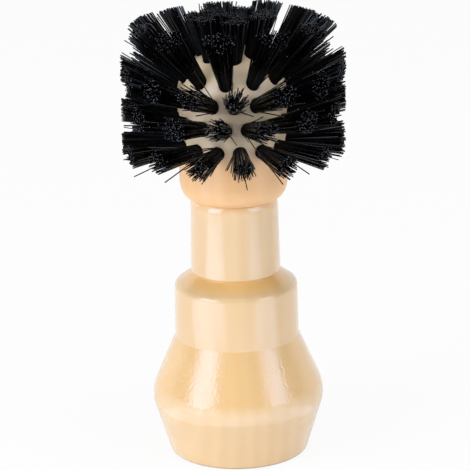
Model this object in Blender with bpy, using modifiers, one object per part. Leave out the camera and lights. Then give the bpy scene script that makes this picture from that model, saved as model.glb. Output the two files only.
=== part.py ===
"""Portafilter brush: a turned and lacquered handle with a screw-on tufted head.

Metres, +Z up, standing on its foot with the origin at the middle of the resting face.
Run with: blender --background --python part.py
"""
import math
import random

import bmesh
import bpy
from mathutils import Matrix, Vector

mm = 0.001

# Clearance between pieces that touch, and the reach of a merge on the turning axis
fit_gap = 0.3 * mm
merge_reach = 0.01 * mm

# Handle, from the foot up: each height is measured from the edge below it
foot_radius = 18.9 * mm
foot_edge_round = 1.4 * mm
belly_radius = 24.3 * mm  # where the foot's flare and the cone would meet
belly_height = 17.3 * mm
belly_round = 9.5 * mm
cone_height = 16.3 * mm
collar_radius = 17.2 * mm
collar_draft = 0.2 * mm  # how much narrower the collar is at its top
collar_height = 15.7 * mm
shoulder_height = 3.6 * mm
shoulder_round = 2.2 * mm
neck_radius = 12.4 * mm
neck_draft = 0.35 * mm
neck_height = 20.7 * mm
neck_edge_round = 1.2 * mm

# Hanger bolt: a wood screw end glued into the neck and a machine thread that carries the head
thread_radius = 4.0 * mm
thread_length = 12.5 * mm
thread_chamfer = 0.8 * mm
screw_radius = 3.7 * mm
screw_length = 26.0 * mm
screw_point_height = 4.0 * mm

# Threaded insert pressed into the head
insert_wall = 1.7 * mm
insert_length = 12.5 * mm
insert_recess = 0.3 * mm  # how far it lies inside the head's face
insert_groove_depth = 0.6 * mm
insert_groove_height = 2.0 * mm
insert_chamfer = 0.5 * mm
bolt_end_room = 2.0 * mm  # free depth above the insert

# Head block: a rounded base, a straight side and a dome
bulb_overhang = 2.9 * mm  # how far the side stands out over the face on the neck
bulb_height = 5.6 * mm
side_height = 29.2 * mm
dome_height = 13.2 * mm
skin_depth = 2.8 * mm  # slice of the block that each row of tufts is fused to

# Tufts: straight nylon strands that fan out of each hole up to the trimmed outline
row_pitch = 6.6 * mm
strand_width = 0.95 * mm
tuft_radius = 1.3 * mm
root_depth = 1.9 * mm
fan_share = 0.1  # sideways spread for each unit of length
trim_radius = 31.6 * mm
trim_height = 26.5 * mm  # from the trim's widest level to its flat top
trim_drop = 3.1 * mm  # its widest level, below the start of the dome
trim_squareness = 5
ragged_length = 0.6 * mm  # most that a strand falls short of the trim
strands_round_centre = 6
trim_search_steps = 30

# Places worked out from the sizes above
collar_top_radius = collar_radius - collar_draft
neck_top_radius = neck_radius - neck_draft
cone_top = belly_height + cone_height
collar_top = cone_top + collar_height
neck_foot = collar_top + shoulder_height
neck_top = neck_foot + neck_height
head_face = neck_top + fit_gap
block_radius = neck_top_radius + bulb_overhang
dome_start = head_face + side_height
core_depth = skin_depth + fit_gap
first_row_drop = 2 * row_pitch
ledge_drop = first_row_drop + row_pitch / 2
insert_radius = thread_radius + fit_gap + insert_wall
insert_foot = head_face + insert_recess
trim_level = dome_start - trim_drop

# Rows of tufts: a place is the drop below the dome's start and the angle up the dome,
# and the offset is how far the first tuft stands from the front, as a share of their spacing
rows = [
    {"name": "lower_bristles", "place": (first_row_drop, 0), "tufts": 15, "offset_share": 0.3, "tilt": -2},
    {"name": "middle_bristles", "place": (row_pitch, 0), "tufts": 15, "offset_share": 0.67, "tilt": 14},
    {"name": "upper_bristles", "place": (0, 0), "tufts": 15, "offset_share": 0.1, "tilt": 23},
    {"name": "shoulder_bristles", "place": (0, 27), "tufts": 11, "offset_share": 0.78, "tilt": 49},
    {"name": "top_bristles", "place": (0, 56), "tufts": 7, "offset_share": 0.14, "tilt": 74},
    {"name": "crown_bristles", "place": (0, 76), "tufts": 3, "offset_share": 0.25, "tilt": 85},
]
ledge_place = (ledge_drop, 0)
pole_place = (0, 90)

# Smoothness of the turned shapes
handle_sides = 64
head_sides = 48
bolt_sides = 24
arc_step = 11  # degrees
dome_step = 14  # degrees


def clear_scene():
    """Remove whatever the open file holds."""
    for thing in list(bpy.data.objects):
        bpy.data.objects.remove(thing, do_unlink=True)


def make_collection(name):
    """Add a collection to the scene."""
    collection = bpy.data.collections.new(name)
    bpy.context.scene.collection.children.link(collection)
    return collection


def make_material(name, colour, roughness, metallic=0.0):
    """A Principled material with one linear colour."""
    material = bpy.data.materials.new(name)
    material.use_nodes = True
    shader = material.node_tree.nodes["Principled BSDF"]
    shader.inputs["Base Color"].default_value = (*colour, 1.0)
    shader.inputs["Roughness"].default_value = roughness
    shader.inputs["Metallic"].default_value = metallic
    material.diffuse_color = (*colour, 1.0)
    return material


def make_frame(name, height, parent=None):
    """An empty on the turning axis that a rigid body hangs from."""
    frame = bpy.data.objects.new(name, None)
    part_collection.objects.link(frame)
    frame.location = (0, 0, height)
    if parent:
        frame.parent = parent
        frame.matrix_parent_inverse = parent_inverse(parent)
    return frame


def parent_inverse(frame):
    """Keep world places for what hangs from a frame that only moved up."""
    return Matrix.Translation((0, 0, -frame.location.z))


def rounded(corners):
    """Outline points of (radius, height, round) corners, each round drawn as an arc."""
    points = []
    for index, (radius, height, fillet) in enumerate(corners):
        corner = Vector((radius, height))
        if not fillet:
            points.append(corner)
            continue
        before = (Vector(corners[index - 1][:2]) - corner).normalized()
        after = (Vector(corners[index + 1][:2]) - corner).normalized()
        half_angle = before.angle(after) / 2
        turn = math.pi - 2 * half_angle
        centre = corner + (before + after).normalized() * (fillet / math.sin(half_angle))
        start = corner + before * (fillet / math.tan(half_angle)) - centre
        end = corner + after * (fillet / math.tan(half_angle)) - centre
        steps = max(2, math.ceil(math.degrees(turn) / arc_step))
        for step in range(steps + 1):
            sweep = turn * step / steps
            share_start = math.sin(turn - sweep) / math.sin(turn)
            share_end = math.sin(sweep) / math.sin(turn)
            points.append(centre + start * share_start + end * share_end)
    return points


def turn_piece(name, outline, sides, frame, material, closed=False):
    """Spin an outline round Z; it runs down the outer side of the piece."""
    mesh = bpy.data.meshes.new(name)
    points = [(radius, 0, height) for radius, height in outline]
    edges = [(index, index + 1) for index in range(len(points) - 1)]
    if closed:
        edges.append((len(points) - 1, 0))
    mesh.from_pydata(points, edges, [])
    piece = bpy.data.objects.new(name, mesh)
    part_collection.objects.link(piece)
    piece.parent = frame
    piece.matrix_parent_inverse = parent_inverse(frame)
    mesh.materials.append(material)
    screw = piece.modifiers.new("turned", "SCREW")
    screw.axis = "Z"
    screw.angle = math.tau
    screw.steps = sides
    screw.render_steps = sides
    screw.use_merge_vertices = True
    screw.merge_threshold = merge_reach
    screw.use_smooth_shade = True
    return piece


def skin_at(place, depth):
    """Radius and height of a place on the head's skin, or so deep below it."""
    drop, angle = place
    swing = math.radians(angle)
    radius = (block_radius - depth) * math.cos(swing)
    height = dome_start - drop + (dome_height - depth) * math.sin(swing)
    return (max(radius, 0.0) if angle < pole_place[1] else 0.0, height)


def halfway(first, second):
    """The place midway between two places on the skin."""
    return ((first[0] + second[0]) / 2, (first[1] + second[1]) / 2)


def shifted(place, distance):
    """A place moved along the skin, upwards where the distance is positive."""
    drop, angle = place
    if drop > 0:
        return (drop - distance, angle)
    return (drop, angle + math.degrees(distance / block_radius))


def skin_walk(low, high):
    """Places from low to high on the skin, close enough for the dome to look round."""
    walk = [low]
    if low[0] > 0 and high[1] > 0:
        walk.append((0, 0))
    first_angle = walk[-1][1]
    steps = math.ceil((high[1] - first_angle) / dome_step)
    for step in range(1, steps):
        walk.append((0, first_angle + (high[1] - first_angle) * step / steps))
    walk.append(high)
    return walk


def make_handle():
    """The turned handle: flared foot, belly, cone, collar, shoulder and neck, with a blind bore."""
    bore_radius = thread_radius + fit_gap
    bore_foot = neck_top - screw_length - fit_gap
    corners = [
        (0, bore_foot, 0),
        (bore_radius, bore_foot, 0),
        (bore_radius, neck_top, 0),
        (neck_top_radius, neck_top, neck_edge_round),
        (neck_radius, neck_foot, 0),
        (collar_top_radius, collar_top, shoulder_round),
        (collar_radius, cone_top, 0),
        (belly_radius, belly_height, belly_round),
        (foot_radius, 0, foot_edge_round),
        (0, 0, 0),
    ]
    return turn_piece("handle", rounded(corners), handle_sides, handle_frame, lacquered_wood)


def make_hanger_bolt():
    """Machine thread above the neck, wood screw end with a point below it."""
    top = neck_top + thread_length
    shank_top = neck_top - thread_length / 2
    point_top = neck_top - screw_length + screw_point_height
    corners = [
        (0, top, 0),
        (thread_radius - thread_chamfer, top, 0),
        (thread_radius, top - thread_chamfer, 0),
        (thread_radius, shank_top, 0),
        (screw_radius, shank_top - (thread_radius - screw_radius), 0),
        (screw_radius, point_top, 0),
        (0, neck_top - screw_length, 0),
    ]
    return turn_piece("hanger_bolt", rounded(corners), bolt_sides, handle_frame, zinc_steel)


def make_insert():
    """Brass bush with two gripping bands, a groove between them and chamfered ends."""
    top = insert_foot + insert_length
    middle = (insert_foot + top) / 2
    groove_radius = insert_radius - insert_groove_depth
    bore_radius = thread_radius + fit_gap
    corners = [
        (bore_radius, top, 0),
        (insert_radius - insert_chamfer, top, 0),
        (insert_radius, top - insert_chamfer, 0),
        (insert_radius, middle + insert_groove_height / 2, 0),
        (groove_radius, middle + insert_groove_height / 2, 0),
        (groove_radius, middle - insert_groove_height / 2, 0),
        (insert_radius, middle - insert_groove_height / 2, 0),
        (insert_radius, insert_foot + insert_chamfer, 0),
        (insert_radius - insert_chamfer, insert_foot, 0),
        (bore_radius, insert_foot, 0),
    ]
    return turn_piece("threaded_insert", rounded(corners), bolt_sides, insert_frame, brass, closed=True)


def bulb_curve():
    """Quarter ellipse from the straight side down to the face that sits on the neck."""
    steps = math.ceil(90 / arc_step)
    points = []
    for step in range(steps):
        swing = math.radians(90 * step / steps)
        radius = neck_top_radius + bulb_overhang * math.cos(swing)
        points.append((radius, head_face + bulb_height * (1 - math.sin(swing))))
    return points


def make_head_block():
    """The turned block: bulb, ledge and a core that the rows of tufts sit round."""
    socket_radius = insert_radius + fit_gap
    socket_top = insert_foot + insert_length + fit_gap
    end_radius = thread_radius + fit_gap
    end_top = socket_top + bolt_end_room
    ledge_height = skin_at(ledge_place, 0)[1]
    outline = [skin_at(place, core_depth) for place in reversed(skin_walk(ledge_place, pole_place))]
    outline.append((block_radius, ledge_height))
    outline.extend(bulb_curve())
    outline.extend(
        [
            (neck_top_radius, head_face),
            (socket_radius, head_face),
            (socket_radius, socket_top),
            (end_radius, socket_top),
            (end_radius, end_top),
            (0, end_top),
        ]
    )
    return turn_piece("head_block", outline, head_sides, head_frame, lacquered_wood)


def trimmed_length(root, direction):
    """Distance along a strand to the trimmed outline, a squared-off dome on a straight side."""
    near, far = 0.0, 2 * trim_radius
    for _ in range(trim_search_steps):
        middle = (near + far) / 2
        tip = root + direction * middle
        side_share = math.hypot(tip.x, tip.y) / trim_radius
        top_share = max(tip.z - trim_level, 0.0) / trim_height
        if side_share**trim_squareness + top_share**trim_squareness < 1:
            near = middle
        else:
            far = middle
    return near


def add_strand(shape, root, direction, side, length):
    """One three-sided strand, from below the skin to its cut end."""
    whole = length + root_depth
    middle = root + direction * (length - root_depth) / 2
    across = direction.cross(side).normalized()
    flat = across.cross(direction).normalized()
    turn = Matrix((flat, across, direction)).transposed().to_4x4()
    bmesh.ops.create_cone(
        shape,
        cap_ends=True,
        segments=3,
        radius1=strand_width / math.sqrt(3),
        radius2=strand_width / math.sqrt(3),
        depth=whole,
        matrix=Matrix.Translation(middle) @ turn,
    )


def make_strands(row):
    """All strands of one row as one mesh of separate closed prisms."""
    shape = bmesh.new()
    radius, height = skin_at(row["place"], 0)
    tilt = math.radians(row["tilt"])
    draw = random.Random(row["name"])
    for tuft in range(row["tufts"]):
        bearing = math.tau * (tuft + row["offset_share"]) / row["tufts"] - math.pi / 2
        outward = Vector((math.cos(bearing), math.sin(bearing), 0))
        side = Vector((-outward.y, outward.x, 0))
        direction = outward * math.cos(tilt) + Vector((0, 0, math.sin(tilt)))
        up = direction.cross(side)
        root = outward * radius + Vector((0, 0, height))
        spin = draw.uniform(0, math.tau)
        spots = [Vector((0, 0, 0))]
        for strand in range(strands_round_centre):
            swing = spin + math.tau * strand / strands_round_centre
            spots.append(side * math.cos(swing) + up * math.sin(swing))
        for spot in spots:
            start = root + spot * tuft_radius
            heading = (direction + spot * fan_share).normalized()
            length = trimmed_length(start, heading) - draw.uniform(0, ragged_length)
            add_strand(shape, start, heading, side, length)
    mesh = bpy.data.meshes.new(row["name"] + "_strands")
    shape.to_mesh(mesh)
    shape.free()
    strands = bpy.data.objects.new(row["name"] + "_strands", mesh)
    cutter_collection.objects.link(strands)
    strands.parent = head_frame
    strands.matrix_parent_inverse = parent_inverse(head_frame)
    strands.hide_render = True
    strands.display_type = "WIRE"
    return strands


def make_bristle_row(row, low, high):
    """A slice of the head's skin with its row of tufts fused to it."""
    at_pole = high == pole_place
    low = shifted(low, fit_gap / 2)
    high = high if at_pole else shifted(high, -fit_gap / 2)
    walk = skin_walk(low, high)
    outline = [skin_at(place, 0) for place in reversed(walk)]
    outline.extend(skin_at(place, skin_depth) for place in walk)
    piece = turn_piece(row["name"], outline, head_sides, head_frame, black_nylon, closed=not at_pole)
    union = piece.modifiers.new("tufts", "BOOLEAN")
    union.operation = "UNION"
    union.solver = "EXACT"
    union.object = make_strands(row)
    return piece


def make_bristles():
    """Every row, each slice ending midway to the next row."""
    edges = [shifted(ledge_place, fit_gap / 2)]
    for lower, upper in zip(rows, rows[1:]):
        edges.append(halfway(lower["place"], upper["place"]))
    edges.append(pole_place)
    for row, low, high in zip(rows, edges, edges[1:]):
        make_bristle_row(row, low, high)


clear_scene()
part_collection = make_collection("portafilter_brush")
cutter_collection = make_collection("cutters")

lacquered_wood = make_material("lacquered_wood", (0.90, 0.66, 0.38), 0.28)
black_nylon = make_material("black_nylon", (0.006, 0.006, 0.007), 0.45)
zinc_steel = make_material("zinc_plated_steel", (0.62, 0.63, 0.65), 0.3, metallic=1.0)
brass = make_material("brass", (0.78, 0.56, 0.25), 0.3, metallic=1.0)

handle_frame = make_frame("handle_frame", 0)
insert_frame = make_frame("insert_frame", head_face, handle_frame)
head_frame = make_frame("head_frame", head_face, insert_frame)

make_handle()
make_hanger_bolt()
make_insert()
make_head_block()
make_bristles()
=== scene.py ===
import math
import random

import bmesh
import bpy
from mathutils import Matrix, Vector


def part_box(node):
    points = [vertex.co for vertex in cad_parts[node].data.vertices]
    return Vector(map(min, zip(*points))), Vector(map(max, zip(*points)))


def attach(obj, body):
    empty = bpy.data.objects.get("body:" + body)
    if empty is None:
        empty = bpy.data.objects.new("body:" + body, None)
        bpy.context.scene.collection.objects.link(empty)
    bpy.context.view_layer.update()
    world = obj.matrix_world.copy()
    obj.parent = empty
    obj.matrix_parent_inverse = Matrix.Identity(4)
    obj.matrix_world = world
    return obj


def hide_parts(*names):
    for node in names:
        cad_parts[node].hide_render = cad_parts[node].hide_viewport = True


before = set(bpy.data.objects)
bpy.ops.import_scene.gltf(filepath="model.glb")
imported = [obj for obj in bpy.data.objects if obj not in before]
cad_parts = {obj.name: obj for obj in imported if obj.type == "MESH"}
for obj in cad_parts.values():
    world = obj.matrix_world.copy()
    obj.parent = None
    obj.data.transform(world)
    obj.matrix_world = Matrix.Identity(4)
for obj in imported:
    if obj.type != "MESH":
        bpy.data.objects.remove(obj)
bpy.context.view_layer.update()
mm = 0.001
plainWhite = (1, 1, 1, 1)

# sockets of a mix node that mixes colours
mixShare = 0
mixFirst = 6
mixSecond = 7
mixResult = 2                   # its output
print("frame loaded")


def toLinear(hexColour):
    # sRGB hex to the linear colour that the shaders work in
    channels = [int(hexColour[place:place + 2], 16) / 255 for place in (1, 3, 5)]
    linear = [c / 12.92 if c <= 0.04045 else ((c + 0.055) / 1.055) ** 2.4 for c in channels]
    return (*linear, 1.0)


def addNode(tree, kind, inputs=None, **settings):
    # one node with its settings; an input is a value or the socket that feeds it
    node = tree.nodes.new(kind)
    for name, value in settings.items():
        setattr(node, name, value)
    for name, value in (inputs or {}).items():
        if isinstance(value, bpy.types.NodeSocket):
            tree.links.new(value, node.inputs[name])
        else:
            node.inputs[name].default_value = value
    return node


def newMaterial(name):
    # a material with an empty node tree, and the tree to fill
    material = bpy.data.materials.new(name)
    material.use_nodes = True
    material.node_tree.nodes.clear()
    return material, material.node_tree


# Camera and studio

view = {
    "distance": 1.0,            # m in front of the turning axis
    "height": 0.3877,           # m above the surface the brush stands on
    "lookDown": 18.03,          # degrees
    "roll": -1.25,              # degrees, the brush leans a little to the left in the picture
    "lens": 291.8,              # mm on a 36 mm sensor, a long product lens
    "sensor": 36.0,
    "nearest": 0.05,            # m, what the camera starts to see
    "farthest": 20.0,
}

camera = bpy.data.objects.new("camera", bpy.data.cameras.new("camera"))
bpy.context.scene.collection.objects.link(camera)
camera.data.sensor_width = view["sensor"]
camera.data.lens = view["lens"]
camera.data.clip_start = view["nearest"]
camera.data.clip_end = view["farthest"]
lookDown = Matrix.Rotation(math.radians(90 - view["lookDown"]), 4, "X")
rollOver = Matrix.Rotation(math.radians(view["roll"]), 4, "Z")
camera.matrix_world = Matrix.Translation((0, -view["distance"], view["height"])) @ lookDown @ rollOver
bpy.context.scene.camera = camera
bpy.context.scene.view_settings.view_transform = "Standard"

studio = {
    "aim": (0, 0, 50 * mm),
    # bearing from the camera's side and rise in degrees, distance and sides in m, and watts. Each side
    # has a cool lamp that the gloss mirrors and a warm one that it doesn't, so that the highlights are
    # white and the wood stays golden
    "softboxes": [
        {"name": "keyLeft", "bearing": -54, "rise": 20, "distance": 1.1,
         "sides": (0.70, 0.66), "watts": 7.4, "colour": "#b2d0ff", "mirrored": True},
        {"name": "keyRight", "bearing": 58.5, "rise": 21, "distance": 1.1,
         "sides": (0.57, 0.56), "watts": 3.95, "colour": "#b2d0ff", "mirrored": True},
        {"name": "fillLeft", "bearing": -54, "rise": 20, "distance": 1.1,
         "sides": (0.70, 0.66), "watts": 6.6, "colour": "#ffe28c", "mirrored": False},
        {"name": "fillRight", "bearing": 58.5, "rise": 21, "distance": 1.1,
         "sides": (0.57, 0.56), "watts": 3.35, "colour": "#ffdc6c", "mirrored": False},
        {"name": "overhead", "bearing": 0, "rise": 84, "distance": 1.2,
         "sides": (0.9, 0.9), "watts": 7.2, "colour": "#ffffff", "mirrored": False},
        {"name": "topFront", "bearing": 0, "rise": 55, "distance": 1.1,
         "sides": (0.6, 0.75), "watts": 0.85, "colour": "#ffffff", "mirrored": True},
    ],
    # white cards that lie on the floor and show only in the gloss
    "cards": [
        {"name": "cardLeft", "bearing": -54, "reach": 0.18, "sides": (0.16, 0.13),
         "watts": 0.165, "colour": "#b2d0ff"},
        {"name": "cardRight", "bearing": 51, "reach": 0.18, "sides": (0.10, 0.13),
         "watts": 0.070, "colour": "#b2d0ff"},
    ],
    "cardHeight": 1 * mm,
    # and an arc of small ones close round the foot, mirrored in the underside of the belly
    "arcCards": [-72, -48, -24, 0, 24, 48, 72],
    "arcCard": {"name": "arcCard", "reach": 0.080, "sides": (0.033, 0.090),
                "watts": 0.0095, "colour": "#c4dbff"},
    "roomLight": 0.10,          # of the dim room over the paper, beside white
    "backdropRise": 5,          # degrees up to which the white backdrop paper reaches
    "backdropFade": 8,          # and over which it fades out
    "backdropClimb": 1.2,       # how fast it climbs further towards the back
    "backdropClimbFrom": 0.25,
    "floorColour": "#fbfaf9",
    "floorShadowShare": 0.07,   # of the floor's shading that the camera sees
    "glossShadowShare": 0.3,    # and that the gloss mirrors
    "floorSize": 3.0,           # m
    "floorGap": 0.02 * mm,      # keeps the paper clear of the resting face
}


def makeLight(lamp):
    # a rectangular lamp that the camera doesn't see
    light = bpy.data.lights.new(lamp["name"], "AREA")
    light.shape = "RECTANGLE"
    light.size, light.size_y = lamp["sides"]
    light.energy = lamp["watts"]
    light.color = toLinear(lamp["colour"])[:3]
    holder = bpy.data.objects.new(lamp["name"], light)
    bpy.context.scene.collection.objects.link(holder)
    holder.visible_camera = False
    return holder


def makeSoftbox(lamp):
    # a lamp on a sphere round the brush, facing it
    holder = makeLight(lamp)
    bearing = math.radians(lamp["bearing"])
    rise = math.radians(lamp["rise"])
    level = math.cos(rise)
    out = Vector((math.sin(bearing) * level, -math.cos(bearing) * level, math.sin(rise)))
    holder.location = Vector(studio["aim"]) + out * lamp["distance"]
    holder.rotation_euler = (-out).to_track_quat("-Z", "Y").to_euler()
    holder.visible_glossy = lamp["mirrored"]


def makeCard(card, degrees):
    # a bright card on the floor beside the brush, facing up, which only the gloss shows
    holder = makeLight(card)
    bearing = math.radians(degrees)
    holder.location = (
        math.sin(bearing) * card["reach"],
        -math.cos(bearing) * card["reach"],
        studio["cardHeight"],
    )
    holder.rotation_euler = (math.pi, 0, bearing)
    holder.visible_diffuse = False


def makeWorld():
    # white paper behind and beside the brush for the camera and for reflections, a dim room above it
    world = bpy.data.worlds.new("paleStudio")
    world.use_nodes = True
    tree = world.node_tree
    tree.nodes.clear()
    path = addNode(tree, "ShaderNodeLightPath")
    place = addNode(tree, "ShaderNodeTexCoord")
    aim = addNode(tree, "ShaderNodeSeparateXYZ", {0: place.outputs["Generated"]})
    behind = addNode(tree, "ShaderNodeMath", {
        0: aim.outputs["Y"], 1: studio["backdropClimbFrom"],
    }, operation="SUBTRACT", use_clamp=True)
    climb = addNode(tree, "ShaderNodeMath", {
        0: behind.outputs[0], 1: -studio["backdropClimb"], 2: aim.outputs["Z"],
    }, operation="MULTIPLY_ADD")
    paper = addNode(tree, "ShaderNodeMapRange", {
        "Value": climb.outputs[0],
        "From Min": math.sin(math.radians(studio["backdropRise"] + studio["backdropFade"])),
        "From Max": math.sin(math.radians(studio["backdropRise"])),
    })
    mirrored = addNode(tree, "ShaderNodeMath", {
        0: path.outputs["Is Glossy Ray"], 1: path.outputs["Is Transmission Ray"],
    }, operation="MAXIMUM")
    reflected = addNode(tree, "ShaderNodeMath", {
        0: mirrored.outputs[0], 1: paper.outputs[0],
    }, operation="MULTIPLY")
    shown = addNode(tree, "ShaderNodeMath", {
        0: path.outputs["Is Camera Ray"], 1: reflected.outputs[0],
    }, operation="MAXIMUM")
    level = addNode(tree, "ShaderNodeMapRange", {
        "Value": shown.outputs[0], "To Min": studio["roomLight"], "To Max": 1.0,
    })
    glow = addNode(tree, "ShaderNodeBackground", {"Color": plainWhite, "Strength": level.outputs[0]})
    addNode(tree, "ShaderNodeOutputWorld", {"Surface": glow.outputs[0]})
    bpy.context.scene.world = world


def makeFloor():
    # plain pale paper, seen as white by the camera and in reflections, with part of the shadow kept
    bpy.ops.mesh.primitive_plane_add(size=studio["floorSize"], location=(0, 0, -studio["floorGap"]))
    floor = bpy.context.object
    floor.name = "floor"
    material, tree = newMaterial("paleBackdropPaper")
    path = addNode(tree, "ShaderNodeLightPath")
    paper = addNode(tree, "ShaderNodeBsdfDiffuse", {"Color": toLinear(studio["floorColour"])})
    white = addNode(tree, "ShaderNodeEmission", {"Color": plainWhite, "Strength": 1.0})
    mirrored = addNode(tree, "ShaderNodeMath", {
        0: path.outputs["Is Glossy Ray"], 1: path.outputs["Is Transmission Ray"],
    }, operation="MAXIMUM")
    seen = addNode(tree, "ShaderNodeMath", {
        0: path.outputs["Is Camera Ray"], 1: 1 - studio["floorShadowShare"],
    }, operation="MULTIPLY")
    share = addNode(tree, "ShaderNodeMath", {
        0: mirrored.outputs[0], 1: 1 - studio["glossShadowShare"], 2: seen.outputs[0],
    }, operation="MULTIPLY_ADD")
    mix = addNode(tree, "ShaderNodeMixShader", {
        0: share.outputs[0], 1: paper.outputs[0], 2: white.outputs[0],
    })
    addNode(tree, "ShaderNodeOutputMaterial", {"Surface": mix.outputs[0]})
    floor.data.materials.append(material)


for lamp in studio["softboxes"]:
    makeSoftbox(lamp)
for card in studio["cards"]:
    makeCard(card, card["bearing"])
for bearing in studio["arcCards"]:
    makeCard(studio["arcCard"], bearing)
makeWorld()
makeFloor()
print("camera and studio ready")


# Lacquered wood

ringWaveRate = 20               # the ring texture repeats each tau / 20 units

handleFinish = {
    "pale": "#f3d1a0",
    "deep": "#f1cc9a",
    "ringWidth": 4.5 * mm,        # growth rings of the board
    "ringTaper": 0.12,            # how much slower the rings change up the blank
    "ringWander": 2.5,            # how far they stray from true circles
    "ringWanderScale": 0.35,
    "heart": (46 * mm, 31 * mm),  # where the heart of the tree lay, off the turning axis
    "fleck": "#e6bd87",
    "fleckShare": 0.15,
    "fleckFrom": 0.60,            # noise at which a ray fleck starts to show
    "fleckFull": 0.78,
    "fleckWidth": 0.35 * mm,      # drawn wider than the real 0.1 mm so that flecks show
    "fleckLength": 2.4 * mm,
    "turningWidth": 0.6 * mm,     # feed marks of the turning tool under the lacquer
    "turningHeight": 0.004 * mm,
    "peelWidth": 0.6 * mm,        # orange peel of sprayed lacquer, a little drawn out up the handle
    "peelLength": 1.0 * mm,
    "peelHeight": 0.075 * mm,     # drawn deeper than the real 0.02 mm so that it shows
    "peelTop": 34.0 * mm,         # above this the lacquer is thinner and lies smoother
    "peelFade": 0.2 * mm,
    "peelTopShare": 0.15,
    "roughness": 0.30,            # of the wood under the lacquer
    "specular": 0.6,
    "anisotropy": 0.3,            # tool marks draw the lights out along the axis
    "anisotropyTurn": 0.25,       # a quarter turn
    "coatRoughness": 0.12,
    "ior": 1.5,
    # painted shade: a darker, deeper band on the shoulder under the neck and the head, a lighter painted
    # shade on the cone and the collar, and a painted contact shadow round the edge of the foot. Height it
    # starts at and how softly, height of its top and how softly it ends there, its share and its colour
    "paintedShadeBands": [
        (48.9 * mm, 2.0 * mm, 52.6 * mm, 0.2 * mm, 1.0, "#f8c77f"),
        (17.8 * mm, 3.0 * mm, 34.2 * mm, 0.4 * mm, 0.48, "#f8c77f"),
        (33.9 * mm, 0.4 * mm, 48.9 * mm, 0.2 * mm, 0.3, "#e8c088"),
        (-1.0 * mm, 0.1 * mm, 0.9 * mm, 0.7 * mm, 0.9, "#a87c4c"),
    ],
    "paintedSheen": "#dac09d",            # painted sheen: a paler, greyer tone standing in for the whitish sheen on the wood between the tufts
    "paintedSheenFrom": 1.0,              # m up the object, out of reach on the handle
    "paintedSheenTo": 1.1,
}

# the head's wood: its warmer, deeper orange is painted shade, standing in for the warm bounced light under
# the tufts on wood of the handle's tone
headFinish = dict(
    handleFinish, pale="#f8c282", deep="#f6be7c", fleck="#e8ac6c", heart=(-38 * mm, 40 * mm),
    peelHeight=0.006 * mm, coatRoughness=0.40, roughness=0.55,
    paintedShadeBands=[], paintedSheen="#eed5b2", paintedSheenFrom=86 * mm, paintedSheenTo=93 * mm,
)


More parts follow.
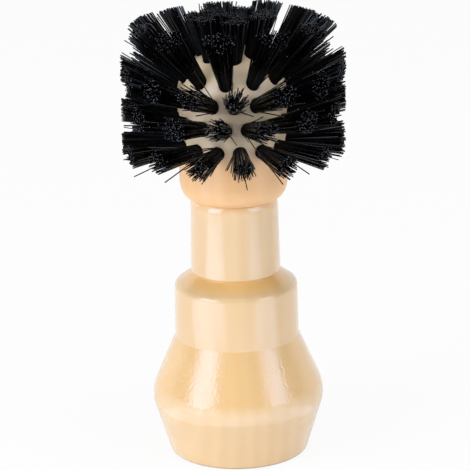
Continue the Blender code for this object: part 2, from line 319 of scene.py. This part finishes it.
def makeLacqueredWood(name, finish):
    # turned pale hardwood under sprayed clear lacquer: the grain barely shows, the glassy skin has
    # orange peel, and the tool marks below it draw the soft lights out along the axis. The head's
    # lacquer is thin and satin. Bands of painted shade darken the wood, and painted sheen makes
    # the wood between the tufts paler and greyer
    material, tree = newMaterial(name)
    place = addNode(tree, "ShaderNodeTexCoord")
    ringScale = math.tau / (ringWaveRate * finish["ringWidth"])
    board = addNode(tree, "ShaderNodeMapping", {
        "Vector": place.outputs["Object"],
        "Location": (finish["heart"][0] * ringScale, finish["heart"][1] * ringScale, 0),
        "Scale": (ringScale, ringScale, ringScale * finish["ringTaper"]),
    })
    rings = addNode(tree, "ShaderNodeTexWave", {
        "Vector": board.outputs[0], "Scale": 1.0, "Distortion": finish["ringWander"], "Detail": 2.0,
        "Detail Scale": finish["ringWanderScale"], "Detail Roughness": 0.5,
    }, wave_type="RINGS", rings_direction="Z")
    wood = addNode(tree, "ShaderNodeMix", {
        mixShare: rings.outputs["Fac"],
        mixFirst: toLinear(finish["pale"]), mixSecond: toLinear(finish["deep"]),
    }, data_type="RGBA")
    fleckPlace = addNode(tree, "ShaderNodeMapping", {
        "Vector": place.outputs["Object"],
        "Scale": (1 / finish["fleckWidth"], 1 / finish["fleckWidth"], 1 / finish["fleckLength"]),
    })
    flecks = addNode(tree, "ShaderNodeTexNoise", {
        "Vector": fleckPlace.outputs[0], "Scale": 1.0, "Detail": 1.0,
    })
    dashes = addNode(tree, "ShaderNodeMapRange", {
        "Value": flecks.outputs["Fac"],
        "From Min": finish["fleckFrom"], "From Max": finish["fleckFull"],
        "To Max": finish["fleckShare"],
    })
    grain = addNode(tree, "ShaderNodeMix", {
        mixShare: dashes.outputs[0],
        mixFirst: wood.outputs[mixResult], mixSecond: toLinear(finish["fleck"]),
    }, data_type="RGBA")
    height = addNode(tree, "ShaderNodeSeparateXYZ", {0: place.outputs["Object"]})
    # painted sheen: paler, greyer wood high on the head, between the tufts
    paintedSheenShare = addNode(tree, "ShaderNodeMapRange", {
        "Value": height.outputs["Z"], "From Min": finish["paintedSheenFrom"], "From Max": finish["paintedSheenTo"],
    }, interpolation_type="SMOOTHSTEP")
    woodWithPaintedLight = addNode(tree, "ShaderNodeMix", {
        mixShare: paintedSheenShare.outputs[0],
        mixFirst: grain.outputs[mixResult], mixSecond: toLinear(finish["paintedSheen"]),
    }, data_type="RGBA")
    # bands of painted shade, each mixed over the wood
    for foot, footFade, top, topFade, share, colour in finish["paintedShadeBands"]:
        rise = addNode(tree, "ShaderNodeMapRange", {
            "Value": height.outputs["Z"], "From Min": foot, "From Max": foot + footFade, "To Max": share,
        })
        fall = addNode(tree, "ShaderNodeMapRange", {
            "Value": height.outputs["Z"], "From Min": top, "From Max": top - topFade,
        })
        paintedShadeMask = addNode(tree, "ShaderNodeMath", {
            0: rise.outputs[0], 1: fall.outputs[0],
        }, operation="MULTIPLY")
        woodWithPaintedLight = addNode(tree, "ShaderNodeMix", {
            mixShare: paintedShadeMask.outputs[0],
            mixFirst: woodWithPaintedLight.outputs[mixResult], mixSecond: toLinear(colour),
        }, data_type="RGBA")
    turningPlace = addNode(tree, "ShaderNodeMapping", {
        "Vector": place.outputs["Object"], "Scale": (0, 0, 1 / finish["turningWidth"]),
    })
    turning = addNode(tree, "ShaderNodeTexNoise", {
        "Vector": turningPlace.outputs[0], "Scale": 1.0, "Detail": 3.0,
    })
    peelPlace = addNode(tree, "ShaderNodeMapping", {
        "Vector": place.outputs["Object"],
        "Scale": (1 / finish["peelWidth"], 1 / finish["peelWidth"], 1 / finish["peelLength"]),
    })
    ripple = addNode(tree, "ShaderNodeTexNoise", {
        "Vector": peelPlace.outputs[0], "Scale": 1.0, "Detail": 0.0,
    })
    peelShare = addNode(tree, "ShaderNodeMapRange", {
        "Value": height.outputs["Z"],
        "From Min": finish["peelTop"] - finish["peelFade"], "From Max": finish["peelTop"],
        "To Min": 1.0, "To Max": finish["peelTopShare"],
    })
    peel = addNode(tree, "ShaderNodeBump", {
        "Height": ripple.outputs["Fac"], "Strength": peelShare.outputs[0], "Distance": finish["peelHeight"],
    })
    toolMarks = addNode(tree, "ShaderNodeBump", {
        "Height": turning.outputs["Fac"], "Strength": 1.0, "Distance": finish["turningHeight"],
        "Normal": peel.outputs[0],
    })
    around = addNode(tree, "ShaderNodeTangent", direction_type="RADIAL", axis="Z")
    shader = addNode(tree, "ShaderNodeBsdfPrincipled", {
        "Base Color": woodWithPaintedLight.outputs[mixResult],
        "Roughness": finish["roughness"],
        "IOR": finish["ior"],
        "Specular IOR Level": finish["specular"],
        "Anisotropic": finish["anisotropy"],
        "Anisotropic Rotation": finish["anisotropyTurn"],
        "Tangent": around.outputs[0],
        "Coat Weight": 1.0,
        "Coat Roughness": finish["coatRoughness"],
        "Coat IOR": finish["ior"],
        "Normal": toolMarks.outputs[0],
        "Coat Normal": peel.outputs[0],
    })
    addNode(tree, "ShaderNodeOutputMaterial", {"Surface": shader.outputs[0]})
    return material


# Nylon

nylonFinish = {
    "colour": "#040405",
    "ior": 1.53,
    "specular": 0.30,
    "filament": 0.34 * mm,       # thickness of one, the scale of its wear and of the ends' speckle
    "smoothest": 0.14,           # roughness of the drawn skin where it is least worn
    "roughest": 0.32,            # and where it is most
    "rootCentre": (0, 0, 100 * mm),
    "rootReach": 17 * mm,        # filaments are matt within this of the centre of the head
    "tipReach": 27 * mm,         # and smooth beyond this
    "rootRoughness": 0.75,
    # painted glints: blue-grey on some of the cut ends
    "endGlintColour": "#626470",
    "endRoughness": 0.5,
    "glintFrom": 0.50,             # noise at which a painted glint starts on a cut end
    "glintFull": 0.66,
}


def makeDrawnNylon():
    # drawn black nylon filament: deep black with a soft line of light along it, and matt near the
    # roots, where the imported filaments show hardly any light
    material, tree = newMaterial("drawnBlackNylon")
    place = addNode(tree, "ShaderNodeTexCoord")
    scale = (1 / nylonFinish["filament"],) * 3
    spread = addNode(tree, "ShaderNodeMapping", {"Vector": place.outputs["Object"], "Scale": scale})
    wear = addNode(tree, "ShaderNodeTexNoise", {"Vector": spread.outputs[0], "Scale": 1.0, "Detail": 1.0})
    smooth = addNode(tree, "ShaderNodeMapRange", {
        "Value": wear.outputs["Fac"],
        "To Min": nylonFinish["smoothest"], "To Max": nylonFinish["roughest"],
    })
    reach = addNode(tree, "ShaderNodeVectorMath", {
        0: place.outputs["Object"], 1: nylonFinish["rootCentre"],
    }, operation="DISTANCE")
    rough = addNode(tree, "ShaderNodeMapRange", {
        "Value": reach.outputs["Value"],
        "From Min": nylonFinish["rootReach"], "From Max": nylonFinish["tipReach"],
        "To Min": nylonFinish["rootRoughness"], "To Max": smooth.outputs[0],
    })
    shader = addNode(tree, "ShaderNodeBsdfPrincipled", {
        "Base Color": toLinear(nylonFinish["colour"]),
        "Roughness": rough.outputs[0],
        "IOR": nylonFinish["ior"],
        "Specular IOR Level": nylonFinish["specular"],
    })
    addNode(tree, "ShaderNodeOutputMaterial", {"Surface": shader.outputs[0]})
    return material


def makeCutNylon():
    # the sheared ends of the filaments: black, with a painted blue-grey glint on some of them for the light
    # they catch
    material, tree = newMaterial("shearedNylonEnds")
    place = addNode(tree, "ShaderNodeTexCoord")
    scale = (1 / nylonFinish["filament"],) * 3
    spread = addNode(tree, "ShaderNodeMapping", {"Vector": place.outputs["Object"], "Scale": scale})
    chance = addNode(tree, "ShaderNodeTexNoise", {"Vector": spread.outputs[0], "Scale": 1.0, "Detail": 0.0})
    share = addNode(tree, "ShaderNodeMapRange", {
        "Value": chance.outputs["Fac"],
        "From Min": nylonFinish["glintFrom"], "From Max": nylonFinish["glintFull"],
    })
    colour = addNode(tree, "ShaderNodeMix", {
        mixShare: share.outputs[0],
        mixFirst: toLinear(nylonFinish["colour"]), mixSecond: toLinear(nylonFinish["endGlintColour"]),
    }, data_type="RGBA")
    shader = addNode(tree, "ShaderNodeBsdfPrincipled", {
        "Base Color": colour.outputs[mixResult],
        "Roughness": nylonFinish["endRoughness"],
        "IOR": nylonFinish["ior"],
        "Specular IOR Level": nylonFinish["specular"],
    })
    addNode(tree, "ShaderNodeOutputMaterial", {"Surface": shader.outputs[0]})
    return material


# Metals

metalFinish = {
    "zinc": "#c9cacb",
    "zincRoughness": 0.28,
    "brass": "#d8b167",
    "brassRoughness": 0.22,
    "scratchWidth": 0.25 * mm,   # marks of rolling and machining, drawn coarse enough to show
    "smoothest": 0.7,            # roughness between the marks and in them, beside the usual
    "roughest": 1.4,
}


def makeMetal(name, colour, roughness):
    # rolled or machined metal: fine marks break up its reflection
    material, tree = newMaterial(name)
    place = addNode(tree, "ShaderNodeTexCoord")
    scale = (1 / metalFinish["scratchWidth"],) * 3
    spread = addNode(tree, "ShaderNodeMapping", {"Vector": place.outputs["Object"], "Scale": scale})
    marks = addNode(tree, "ShaderNodeTexNoise", {"Vector": spread.outputs[0], "Scale": 1.0, "Detail": 3.0})
    rough = addNode(tree, "ShaderNodeMapRange", {
        "Value": marks.outputs["Fac"],
        "To Min": roughness * metalFinish["smoothest"], "To Max": roughness * metalFinish["roughest"],
    })
    shader = addNode(tree, "ShaderNodeBsdfPrincipled", {
        "Base Color": toLinear(colour),
        "Metallic": 1.0,
        "Roughness": rough.outputs[0],
    })
    addNode(tree, "ShaderNodeOutputMaterial", {"Surface": shader.outputs[0]})
    return material


handleWood = makeLacqueredWood("lacqueredPaleHardwood", handleFinish)
headWood = makeLacqueredWood("satinPaleHardwood", headFinish)
drawnNylon = makeDrawnNylon()
shearedNylon = makeCutNylon()
zincSteel = makeMetal("zincPlatedSteel", metalFinish["zinc"], metalFinish["zincRoughness"])
brass = makeMetal("machinedBrass", metalFinish["brass"], metalFinish["brassRoughness"])
print("materials ready")


# Turned shapes

edgeMargin = 0.08 * mm          # a ring just outside each round keeps the long faces' shading straight
fewestSteps = 3                 # of the arc round a shallow corner
axisRadius = 1e-7               # m, a ring narrower than this is one point on the axis
sharpAngle = math.radians(38)   # edges that turn more than this are sharp


def roundedOutline(corners, arcStep):
    # (radius, height, round) corners to points, each round drawn as an arc
    points = []
    for index, (radius, height, fillet) in enumerate(corners):
        corner = Vector((radius, height))
        if not fillet:
            points.append(corner)
            continue
        before = (Vector(corners[index - 1][:2]) - corner).normalized()
        after = (Vector(corners[index + 1][:2]) - corner).normalized()
        half = before.angle(after) / 2
        turn = math.pi - 2 * half
        centre = corner + (before + after).normalized() * (fillet / math.sin(half))
        start = corner + before * (fillet / math.tan(half)) - centre
        end = corner + after * (fillet / math.tan(half)) - centre
        steps = max(fewestSteps, math.ceil(math.degrees(turn) / arcStep))
        points.append(centre + start + before * edgeMargin)
        for step in range(steps + 1):
            sweep = turn * step / steps
            points.append(centre + (start * math.sin(turn - sweep) + end * math.sin(sweep)) / math.sin(turn))
        points.append(centre + end + after * edgeMargin)
    return points


def turnMesh(name, outline, sides, material, radiusAt=None, closed=False):
    # spin the outline round Z, down its outer side; radiusAt can cut a thread or knurl into it
    shape = bmesh.new()
    rings = []
    for radius, height in outline:
        if radius < axisRadius:
            rings.append([shape.verts.new((0, 0, height))])
            continue
        ring = []
        for side in range(sides):
            bearing = math.tau * side / sides
            reach = radiusAt(radius, height, bearing) if radiusAt else radius
            ring.append(shape.verts.new((reach * math.cos(bearing), reach * math.sin(bearing), height)))
        rings.append(ring)
    if closed:
        rings.append(rings[0])
    for upper, lower in zip(rings, rings[1:]):
        for side in range(sides):
            after = (side + 1) % sides
            if len(upper) == 1:
                shape.faces.new((upper[0], lower[side], lower[after]))
            elif len(lower) == 1:
                shape.faces.new((upper[side], lower[0], upper[after]))
            else:
                shape.faces.new((upper[side], lower[side], lower[after], upper[after]))
    mesh = bpy.data.meshes.new(name)
    shape.to_mesh(mesh)
    shape.free()
    mesh.materials.append(material)
    mesh.shade_smooth()
    mesh.set_sharp_from_angle(angle=sharpAngle)
    piece = bpy.data.objects.new(name, mesh)
    bpy.context.scene.collection.objects.link(piece)
    return piece


# Handle

handle = {
    "footRadius": 18.9 * mm,
    "footRound": 1.4 * mm,
    "bellyRadius": 24.3 * mm,
    "bellyHeight": 17.3 * mm,
    "bellyRound": 9.5 * mm,
    "coneTop": 33.9 * mm,
    "collarRadius": 17.2 * mm,
    "collarTopRadius": 17.0 * mm,
    "collarTop": 48.75 * mm,
    "shoulderRound": 1.9 * mm,
    "quirkRadius": 12.0 * mm,    # a fine groove undercuts the neck where it meets the shoulder
    "quirkTop": 52.35 * mm,
    "neckFoot": 52.85 * mm,
    "neckFootRound": 0.25 * mm,
    "neckRadius": 12.4 * mm,
    "neckTopRadius": 12.05 * mm,
    "neckChamferWide": 0.85 * mm,
    "neckChamferTall": 1.3 * mm,
    "neckEdgeRound": 0.1 * mm,
    "neckChamferRound": 3.9 * mm,
    "seam": 0.1 * mm,            # left open between the neck and the head
    "coveRound": 0.45 * mm,      # in the corner under the collar
    "boreRadius": 4.05 * mm,     # for the bolt
    "boreDepth": 26.3 * mm,
    "sides": 160,
    "arcStep": 3.0,              # degrees between the points of a round
}


def makeHandle():
    # one turned piece from foot to neck, bored down the neck
    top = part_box("head_block")[0].z - handle["seam"]
    corners = [
        (0, top - handle["boreDepth"], 0),
        (handle["boreRadius"], top - handle["boreDepth"], 0),
        (handle["boreRadius"], top, 0),
        (handle["neckTopRadius"] - handle["neckChamferWide"], top, handle["neckEdgeRound"]),
        (handle["neckTopRadius"], top - handle["neckChamferTall"], handle["neckChamferRound"]),
        (handle["neckRadius"], handle["neckFoot"], handle["neckFootRound"]),
        (handle["quirkRadius"], handle["quirkTop"], 0),
        (handle["collarTopRadius"], handle["collarTop"], handle["shoulderRound"]),
        (handle["collarRadius"], handle["coneTop"], handle["coveRound"]),
        (handle["bellyRadius"], handle["bellyHeight"], handle["bellyRound"]),
        (handle["footRadius"], 0, handle["footRound"]),
        (0, 0, 0),
    ]
    piece = turnMesh("turnedHandle", roundedOutline(corners, handle["arcStep"]), handle["sides"], handleWood)
    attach(piece, "handle")
    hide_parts("handle")


makeHandle()
print("handle turned")


# Head block

head = {
    "blockRadius": 14.95 * mm,
    "bulbHeight": 5.6 * mm,
    "faceRadius": 12.05 * mm,
    "domeStart": 103.1 * mm,
    "domeHeight": 13.2 * mm,
    "socketRadius": 6.05 * mm,   # for the insert
    "endRadius": 4.3 * mm,       # and above it for the end of the bolt
    "socketTop": 87.0 * mm,
    "endTop": 89.0 * mm,
    "holeRadius": 2.05 * mm,
    "holeDepth": 5.0 * mm,
    "holeSides": 24,
    "sides": 128,
    "domeStep": 3.0,             # degrees between the points of the dome and of the bulb
}

# rows of tufts: where their holes are up the side or round the dome, the turn of the first tuft from
# the front, the tilt of the drill and its sideways twist in degrees, how far the filaments fan out of
# the hole sideways and upwards, the share of them that strays, and the width beside the usual tuft's
rows = [
    {"name": "lowerTufts", "node": "lower_bristles", "height": 89.9 * mm, "angle": 0,
     "tufts": 15, "turn": 7.1, "tilt": -2, "twist": -5, "fan": (0.095, 0.075), "stray": 0.09, "size": 1},
    {"name": "middleTufts", "node": "middle_bristles", "height": 96.5 * mm, "angle": 0,
     "tufts": 15, "turn": 16.0, "tilt": 15, "twist": 0, "fan": (0.11, 0.08), "stray": 0.05, "size": 1},
    {"name": "upperTufts", "node": "upper_bristles", "height": 103.1 * mm, "angle": 0,
     "tufts": 15, "turn": 2.3, "tilt": 23, "twist": 0, "fan": (0.12, 0.09), "stray": 0.04, "size": 1},
    {"name": "shoulderTufts", "node": "shoulder_bristles", "height": 103.1 * mm, "angle": 27,
     "tufts": 11, "turn": -7.1, "tilt": 49, "twist": 0, "fan": (0.14, 0.10), "stray": 0.04, "size": 1},
    {"name": "topTufts", "node": "top_bristles", "height": 103.1 * mm, "angle": 61,
     "tufts": 7, "turn": 4.0, "tilt": 77, "twist": 0, "fan": (0.14, 0.06), "stray": 0.03, "size": 1.25},
    {"name": "crownTufts", "node": "crown_bristles", "height": 103.1 * mm, "angle": 80,
     "tufts": 3, "turn": 30.0, "tilt": 85, "twist": 0, "fan": (0.12, 0.10), "stray": 0.03, "size": 1},
]


def tuftSeats(row):
    # root on the head's skin, direction out of it and sideways, for each tuft of a row
    swing = math.radians(row["angle"])
    radius = head["blockRadius"] * math.cos(swing)
    height = row["height"] + head["domeHeight"] * math.sin(swing)
    tilt = math.radians(row["tilt"])
    twist = math.radians(row["twist"])
    for tuft in range(row["tufts"]):
        bearing = math.radians(row["turn"] + 360 * tuft / row["tufts"] - 90)
        outward = Vector((math.cos(bearing), math.sin(bearing), 0))
        aside = Vector((-outward.y, outward.x, 0))
        direction = outward * math.cos(tilt) + Vector((0, 0, math.sin(tilt)))
        direction = direction * math.cos(twist) + aside * math.sin(twist)
        yield outward * radius + Vector((0, 0, height)), direction, aside


def makeHeadBlock():
    # one turned piece from bulb to dome, bored from below and drilled for the tufts
    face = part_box("head_block")[0].z
    outline = []
    steps = math.ceil(90 / head["domeStep"])
    for step in range(steps):
        swing = math.radians(90 - 90 * step / steps)
        radius = head["blockRadius"] * math.cos(swing)
        outline.append((radius, head["domeStart"] + head["domeHeight"] * math.sin(swing)))
    outline.append((head["blockRadius"], head["domeStart"]))
    for step in range(steps + 1):
        swing = math.radians(90 * step / steps)
        overhang = (head["blockRadius"] - head["faceRadius"]) * math.cos(swing)
        rise = head["bulbHeight"] * (1 - math.sin(swing))
        outline.append((head["faceRadius"] + overhang, face + rise))
    outline.extend([
        (head["socketRadius"], face),
        (head["socketRadius"], head["socketTop"]),
        (head["endRadius"], head["socketTop"]),
        (head["endRadius"], head["endTop"]),
        (0, head["endTop"]),
    ])
    piece = turnMesh("turnedHeadBlock", outline, head["sides"], headWood)
    drillShape = bmesh.new()
    for row in rows:
        for root, direction, aside in tuftSeats(row):
            turn = direction.to_track_quat("Z", "Y").to_matrix().to_4x4()
            bmesh.ops.create_cone(
                drillShape,
                cap_ends=True,
                segments=head["holeSides"],
                radius1=head["holeRadius"] * row["size"],
                radius2=head["holeRadius"] * row["size"],
                depth=2 * head["holeDepth"],
                matrix=Matrix.Translation(root) @ turn,
            )
    drillMesh = bpy.data.meshes.new("drills")
    drillShape.to_mesh(drillMesh)
    drillShape.free()
    drills = bpy.data.objects.new("drills", drillMesh)
    bpy.context.scene.collection.objects.link(drills)
    cut = piece.modifiers.new("holes", "BOOLEAN")
    cut.operation = "DIFFERENCE"
    cut.solver = "EXACT"
    cut.use_self = True  # holes near the crown run into each other
    cut.object = drills
    bpy.context.view_layer.update()
    drilled = bpy.data.meshes.new_from_object(piece.evaluated_get(bpy.context.evaluated_depsgraph_get()))
    piece.modifiers.clear()
    piece.data = drilled
    bpy.data.objects.remove(drills)
    drilled.shade_smooth()
    drilled.set_sharp_from_angle(angle=sharpAngle)
    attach(piece, "head")
    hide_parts("head_block")


makeHeadBlock()
print("head block turned and drilled")


# Tufts

brush = {
    "filaments": 88,            # in a tuft of the usual size
    "filamentRadius": 0.17 * mm,
    "filamentSpread": (0.9, 1.1),
    "filamentSides": 4,
    "tuftRadius": 1.88 * mm,
    "swirl": 0.1,               # radians that a filament is off its place round the hole
    "scatter": 0.018,           # sideways drift of each filament, as a share of its length
    "lean": 0.02,               # and of a whole tuft
    "strayFrom": 0.6,           # filaments stray only outside this share of the hole
    "straySplay": 0.22,
    "straySpread": (0.5, 1.2),
    "bow": 0.012,               # sag or spring of a filament, as a share of its length
    "trimCentre": 0.5 * mm,     # the shears ran a little off the axis, to the right
    "trimRadius": 31.1 * mm,
    "trimLevel": 100.0 * mm,
    "trimHeight": 25.8 * mm,
    "trimLean": 0.065,          # the shears sank towards the back by this slope
    "trimSquareness": 6,
    "trimHalvings": 24,         # of the length in the search for the cut
    "ragged": 0.7 * mm,         # how much shorter a filament can be than the trim
    "tuftRagged": 0.8 * mm,     # and a whole tuft
    "rootDepth": 3.0 * mm,
    "segments": 3,
    "sharpAngle": math.radians(60),
    "offPath": Vector((0.3, 0.5, 0.81)),  # a direction that no filament follows
    "seed": 7,
}


def trimmedLength(root, direction):
    # how far a straight filament runs before the shears: a squared-off dome
    near, far = 0.0, 2 * brush["trimRadius"]
    for halving in range(brush["trimHalvings"]):
        middle = (near + far) / 2
        tip = root + direction * middle
        acrossShare = math.hypot(tip.x - brush["trimCentre"], tip.y) / brush["trimRadius"]
        above = tip.z - brush["trimLevel"] + brush["trimLean"] * tip.y
        upShare = max(above, 0.0) / brush["trimHeight"]
        if acrossShare ** brush["trimSquareness"] + upShare ** brush["trimSquareness"] < 1:
            near = middle
        else:
            far = middle
    return near


def addFilament(points, faces, ends, path, radius, spin):
    # a four-sided hair through the path's points, capped where it was cut
    first = len(points)
    sides = brush["filamentSides"]
    heading = (path[-1] - path[0]).normalized()
    across = heading.cross(brush["offPath"]).normalized()
    upward = heading.cross(across)
    for place in path:
        for side in range(sides):
            swing = spin + math.tau * side / sides
            points.append(place + (across * math.cos(swing) + upward * math.sin(swing)) * radius)
    for step in range(len(path) - 1):
        for side in range(sides):
            low = first + sides * step + side
            beside = first + sides * step + (side + 1) % sides
            faces.append((low, beside, beside + sides, low + sides))
    top = first + sides * (len(path) - 1)
    ends.append(len(faces))
    faces.append(tuple(range(top, top + sides)))


def makeTufts(row, draw):
    # one row of tufts: filaments fill each hole in a golden-angle spiral, fan out and are trimmed
    points, faces, ends = [], [], []
    filaments = round(brush["filaments"] * row["size"] ** 2)
    for root, direction, aside in tuftSeats(row):
        upward = direction.cross(aside)
        tuftShort = draw.uniform(0, brush["tuftRagged"])
        lean = aside * draw.gauss(0, brush["lean"]) + upward * draw.gauss(0, brush["lean"])
        for hair in range(filaments):
            share = math.sqrt((hair + 0.5) / filaments)
            swing = hair * math.pi * (3 - math.sqrt(5)) + draw.gauss(0, brush["swirl"])
            spot = (aside * math.cos(swing) + upward * math.sin(swing)) * share
            start = root + spot * brush["tuftRadius"] * row["size"]
            scatter = aside * draw.gauss(0, brush["scatter"]) + upward * draw.gauss(0, brush["scatter"])
            fan = (aside * math.cos(swing) * row["fan"][0] + upward * math.sin(swing) * row["fan"][1]) * share
            heading = direction + lean + fan + scatter
            if share > brush["strayFrom"] and draw.random() < row["stray"]:
                heading += spot * brush["straySplay"] * draw.uniform(*brush["straySpread"])
            heading.normalize()
            length = trimmedLength(start, heading) - tuftShort - draw.uniform(0, brush["ragged"])
            bow = (aside * draw.gauss(0, 1) + upward * draw.gauss(0, 1)) * brush["bow"] * length
            path = [start - heading * brush["rootDepth"]]
            for step in range(1, brush["segments"] + 1):
                part = step / brush["segments"]
                path.append(start + heading * length * part + bow * (part * part - part))
            radius = brush["filamentRadius"] * draw.uniform(*brush["filamentSpread"])
            addFilament(points, faces, ends, path, radius, draw.uniform(0, math.tau))
    mesh = bpy.data.meshes.new(row["name"])
    mesh.from_pydata(points, [], faces)
    mesh.materials.append(drawnNylon)
    mesh.materials.append(shearedNylon)
    for face in ends:
        mesh.polygons[face].material_index = 1
    mesh.shade_smooth()
    mesh.set_sharp_from_angle(angle=brush["sharpAngle"])
    piece = bpy.data.objects.new(row["name"], mesh)
    bpy.context.scene.collection.objects.link(piece)
    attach(piece, "head")
    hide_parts(row["node"])


draw = random.Random(brush["seed"])
for row in rows:
    makeTufts(row, draw)
    print(row["name"], "planted")


# Bolt and insert

thread = {
    "pitch": 1.25 * mm,          # M8 coarse, right hand
    "crestRadius": 4.0 * mm,
    "rootRadius": 3.32 * mm,
    "clearance": 0.15 * mm,      # of the nut thread all round
    "crestShare": 0.125,         # flats of a standard thread, as shares of its pitch
    "rootShare": 0.25,
    "stepsPerPitch": 8,
}

bolt = {
    "threadFoot": 67.35 * mm,    # five pitches down in the neck
    "chamfer": 0.8 * mm,
    "shankFoot": 65.6 * mm,      # plain stretch between the two threads
    "shankRadius": 3.5 * mm,
    "screwPitch": 3.0 * mm,
    "screwRootRadius": 2.6 * mm,
    "screwRadius": 3.7 * mm,
    "screwCrestShare": 0.05,
    "screwRootShare": 0.5,
    "screwSteps": 12,            # rings in each pitch
    "point": 4.0 * mm,
    "sides": 48,
}

insert = {
    "outerRadius": 6.0 * mm,
    "chamfer": 0.5 * mm,
    "grooveDepth": 0.6 * mm,
    "grooveWidth": 2.0 * mm,
    "knurls": 36,
    "knurlDepth": 0.25 * mm,
    "sides": 144,
}


def threadRadius(height, bearing, pitch, root, crest, rootShare, crestShare):
    # flat crest, flat root and straight flanks, climbing anticlockwise
    phase = (height / pitch - bearing / math.tau) % 1
    rise = 1 - abs(2 * phase - 1)
    share = (rise - rootShare) / (1 - crestShare - rootShare)
    return root + (crest - root) * min(max(share, 0.0), 1.0)


def makeBolt():
    # machine thread above, plain shank, and a wood screw with a point below
    low, high = (corner.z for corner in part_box("hanger_bolt"))

    def boltRadius(radius, height, bearing):
        if height > bolt["threadFoot"]:
            reach = threadRadius(
                height, bearing, thread["pitch"], thread["rootRadius"], thread["crestRadius"],
                thread["rootShare"], thread["crestShare"],
            )
            return min(reach, radius)
        if height > bolt["shankFoot"]:
            return radius
        reach = threadRadius(
            height, bearing, bolt["screwPitch"], bolt["screwRootRadius"], bolt["screwRadius"],
            bolt["screwRootShare"], bolt["screwCrestShare"],
        )
        taper = min((height - low) / bolt["point"], 1.0)
        return reach * taper

    outline = [(0, high)]
    step = thread["pitch"] / thread["stepsPerPitch"]
    for ring in range(math.floor((high - bolt["threadFoot"]) / step)):
        drop = ring * step
        outline.append((thread["crestRadius"] - max(bolt["chamfer"] - drop, 0.0), high - drop))
    outline.append((bolt["shankRadius"], bolt["threadFoot"]))
    screwStep = bolt["screwPitch"] / bolt["screwSteps"]
    rings = math.floor((bolt["shankFoot"] - low) / screwStep)
    for ring in range(rings):
        outline.append((bolt["screwRadius"], bolt["shankFoot"] - ring * screwStep))
    outline.append((0, low))
    piece = turnMesh("hangerBolt", outline, bolt["sides"], zincSteel, radiusAt=boltRadius)
    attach(piece, "handle")
    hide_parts("hanger_bolt")


def makeInsert():
    # a knurled bush with a groove round it, threaded inside
    low, high = (corner.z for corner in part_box("threaded_insert"))
    middle = (low + high) / 2
    boreRoot = thread["crestRadius"] + thread["clearance"]
    boreCrest = thread["rootRadius"] + thread["clearance"]
    edge = insert["outerRadius"] - insert["chamfer"]
    grooveRadius = insert["outerRadius"] - insert["grooveDepth"]
    knurlStart = high - insert["chamfer"]
    knurlEnd = low + insert["chamfer"]

    def insertRadius(radius, height, bearing):
        if radius == boreRoot:
            return threadRadius(
                height, bearing, thread["pitch"], boreCrest, boreRoot,
                thread["crestShare"], thread["rootShare"],
            )
        if radius == insert["outerRadius"]:
            tooth = abs((bearing * insert["knurls"] / math.tau) % 1 - 0.5) * 2
            return radius - insert["knurlDepth"] * tooth
        return radius

    outline = [
        (edge, high),
        (insert["outerRadius"], knurlStart),
        (insert["outerRadius"], middle + insert["grooveWidth"] / 2),
        (grooveRadius, middle + insert["grooveWidth"] / 2),
        (grooveRadius, middle - insert["grooveWidth"] / 2),
        (insert["outerRadius"], middle - insert["grooveWidth"] / 2),
        (insert["outerRadius"], knurlEnd),
        (edge, low),
    ]
    step = thread["pitch"] / thread["stepsPerPitch"]
    turns = math.floor((high - low) / step)
    for ring in range(turns + 1):
        outline.append((boreRoot, low + ring * step))
    piece = turnMesh("threadedInsert", outline, insert["sides"], brass, radiusAt=insertRadius, closed=True)
    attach(piece, "insert")
    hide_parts("threaded_insert")


makeBolt()
makeInsert()
print("bolt and insert threaded")
